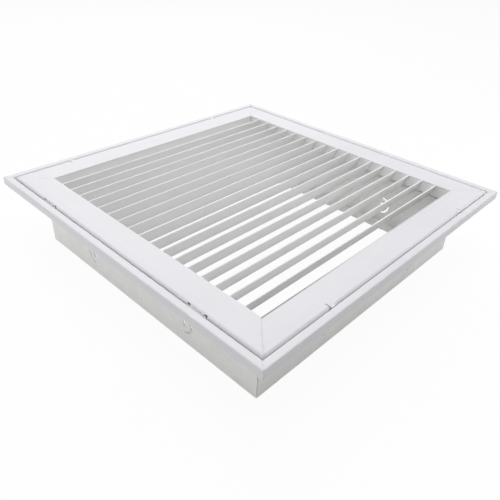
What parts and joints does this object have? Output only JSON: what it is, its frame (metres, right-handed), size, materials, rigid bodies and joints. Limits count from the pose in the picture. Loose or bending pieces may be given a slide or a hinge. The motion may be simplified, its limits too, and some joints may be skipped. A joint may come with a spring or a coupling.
{
  "type": "return air filter grille",
  "caption": "Square white return air grille with a hinged face of fixed slanted blades, a mounting flange and a sheet-metal neck that holds a flat air filter.",
  "frame": {"origin": "middle of the neck's lower end, in the plane of that end", "axes": "+Z out of the duct towards the room, +X along the blades away from the hinges, +Y across the blades, the way their lower edges lean"},
  "size_m": [0.357, 0.357, 0.0735],
  "materials": {
    "white_coat": "satin",
    "neck_sheet": "satin",
    "key_alloy": "satin",
    "bright_steel": "satin",
    "rivet_alloy": "satin"
  },
  "bodies": {
    "frame": {"flange_key_back_left": "key_alloy", "flange_key_back_right": "key_alloy", "flange_key_front_left": "key_alloy", "flange_key_front_right": "key_alloy", "flange_rail_back": "white_coat", "flange_rail_front": "white_coat", "flange_rail_left": "white_coat", "flange_rail_right": "white_coat", "hinge_frame_leaf_1": "white_coat", "hinge_frame_leaf_2": "white_coat", "hinge_rivets": "rivet_alloy", "neck_rivets": "rivet_alloy", "neck_wall_back": "neck_sheet", "neck_wall_front": "neck_sheet", "neck_wall_left": "neck_sheet", "neck_wall_right": "neck_sheet"},
    "door": {"blade_01": "white_coat", "blade_02": "white_coat", "blade_03": "white_coat", "blade_04": "white_coat", "blade_05": "white_coat", "blade_06": "white_coat", "blade_07": "white_coat", "blade_08": "white_coat", "blade_09": "white_coat", "blade_10": "white_coat", "blade_11": "white_coat", "blade_12": "white_coat", "blade_13": "white_coat", "blade_14": "white_coat", "blade_15": "white_coat", "blade_16": "white_coat", "blade_17": "white_coat", "door_key_back_left": "key_alloy", "door_key_back_right": "key_alloy", "door_key_front_left": "key_alloy", "door_key_front_right": "key_alloy", "door_rail_back": "white_coat", "door_rail_front": "white_coat", "door_rail_left": "white_coat", "door_rail_right": "white_coat", "hinge_pin_1": "bright_steel", "hinge_pin_2": "bright_steel"}
  },
  "joints": [
    {"name": "door_hinge", "type": "hinge", "parent": "frame", "child": "door", "pos_m": [-0.1705, 0, 0.07175], "axis": [0, -1, 0], "range_deg": [0, 90]}
  ]
}
